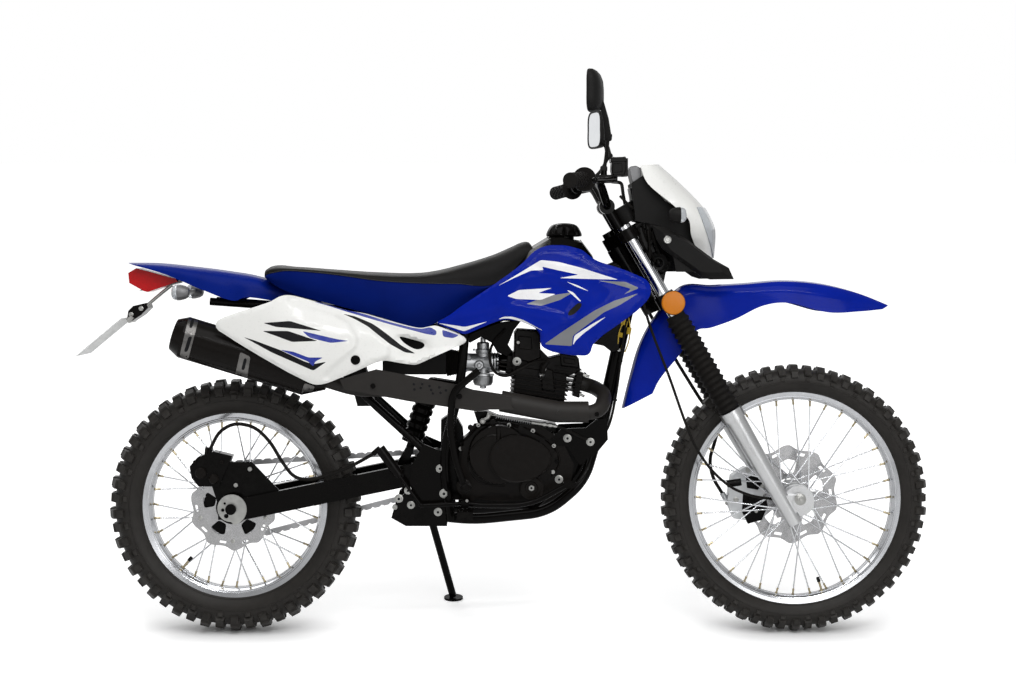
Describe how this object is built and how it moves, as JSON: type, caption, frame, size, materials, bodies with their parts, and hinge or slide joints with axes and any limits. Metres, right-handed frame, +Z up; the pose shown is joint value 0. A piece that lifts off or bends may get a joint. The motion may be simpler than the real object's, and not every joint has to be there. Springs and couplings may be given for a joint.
{
  "type": "dual sport motorcycle",
  "caption": "Light dual sport motorcycle leaning on its side stand: high front fender, lug tyres on wire wheels, fork boots, finned single, long seat.",
  "frame": {"origin": "on the ground, under the middle of the bounding box", "axes": "+X forward, +Y to the machine's left, +Z up; the machine leans to its left on its side stand"},
  "size_m": [2.2064, 0.8234, 1.4737],
  "materials": {
    "alloy": "satin",
    "black_paint": "satin black",
    "black_plastic": "matt",
    "blue": "gloss",
    "chrome": "polished",
    "clear_lens": "clear",
    "engine_black": "matt black",
    "red_lens": "gloss",
    "rubber": "matt",
    "seat_cover": "grained",
    "steel": "satin",
    "tyre": "matt",
    "white": "gloss"
  },
  "bodies": {
    "chassis": {"frame": "black_paint", "subframe": "black_paint", "swingarm": "black_paint", "axle_adjusters": "steel", "rear_shock": "steel", "crankcase": "engine_black", "cylinder": "engine_black", "airbox": "black_plastic", "carburettor": "alloy", "muffler": "engine_black", "header_pipe": "engine_black", "heat_shield": "black_paint", "fuel_cap": "black_plastic", "fuel_tank": "black_plastic", "tank_shroud_right": "blue", "tank_shroud_left": "blue", "rear_fender": "blue", "seat": "seat_cover", "side_panel_right": "white", "side_panel_left": "white", "tail_lamp": "red_lens", "number_plate": "white", "plate_bracket": "black_plastic", "rear_indicators": "clear_lens", "drive_chain": "steel", "footpegs": "black_paint", "foot_controls": "steel", "kick_lever": "black_paint", "rear_caliper": "steel", "rear_brake_hose": "rubber"},
    "steering": {"fork_clamps": "black_paint", "fork_tubes": "chrome", "fork_boots": "rubber", "fork_legs": "alloy", "front_fender": "blue", "headlamp_cowl": "white", "headlamp": "clear_lens", "side_guards": "black_plastic", "front_indicators": "clear_lens", "handlebar": "black_paint", "hand_grips": "rubber", "hand_levers": "alloy", "mirrors": "black_plastic", "front_caliper": "steel", "speedometer": "black_plastic", "instrument_housing": "black_plastic", "front_brake_hose": "rubber", "speedometer_cable": "rubber"},
    "front_wheel": {"front_tyre": "tyre", "front_rim": "alloy", "front_spokes": "steel", "front_hub": "alloy", "front_disc": "steel"},
    "rear_wheel": {"rear_tyre": "tyre", "rear_rim": "alloy", "rear_spokes": "steel", "rear_hub": "alloy", "rear_disc": "steel", "rear_sprocket": "steel"},
    "side_stand": {"side_stand": "black_paint"}
  },
  "joints": [
    {"name": "steering", "type": "hinge", "parent": "chassis", "child": "steering", "pos_m": [0.36508, -0.04065, 0.86773], "axis": [-0.5, 0.1205, 0.8576], "range_deg": [-38, 38]},
    {"name": "front_wheel_spin", "type": "hinge", "parent": "steering", "child": "front_wheel", "pos_m": [0.75603, -0.11402, 0.34571], "axis": [0, 0.9903, -0.1392], "continuous": true},
    {"name": "rear_wheel_spin", "type": "hinge", "parent": "chassis", "child": "rear_wheel", "pos_m": [-0.70197, -0.11658, 0.32745], "axis": [0, 0.9903, -0.1392], "continuous": true},
    {"name": "side_stand_fold", "type": "hinge", "parent": "chassis", "child": "side_stand", "pos_m": [-0.20197, 0.01921, 0.27336], "axis": [0, 0.9613, 0.2756], "range_deg": [0, 98]}
  ]
}
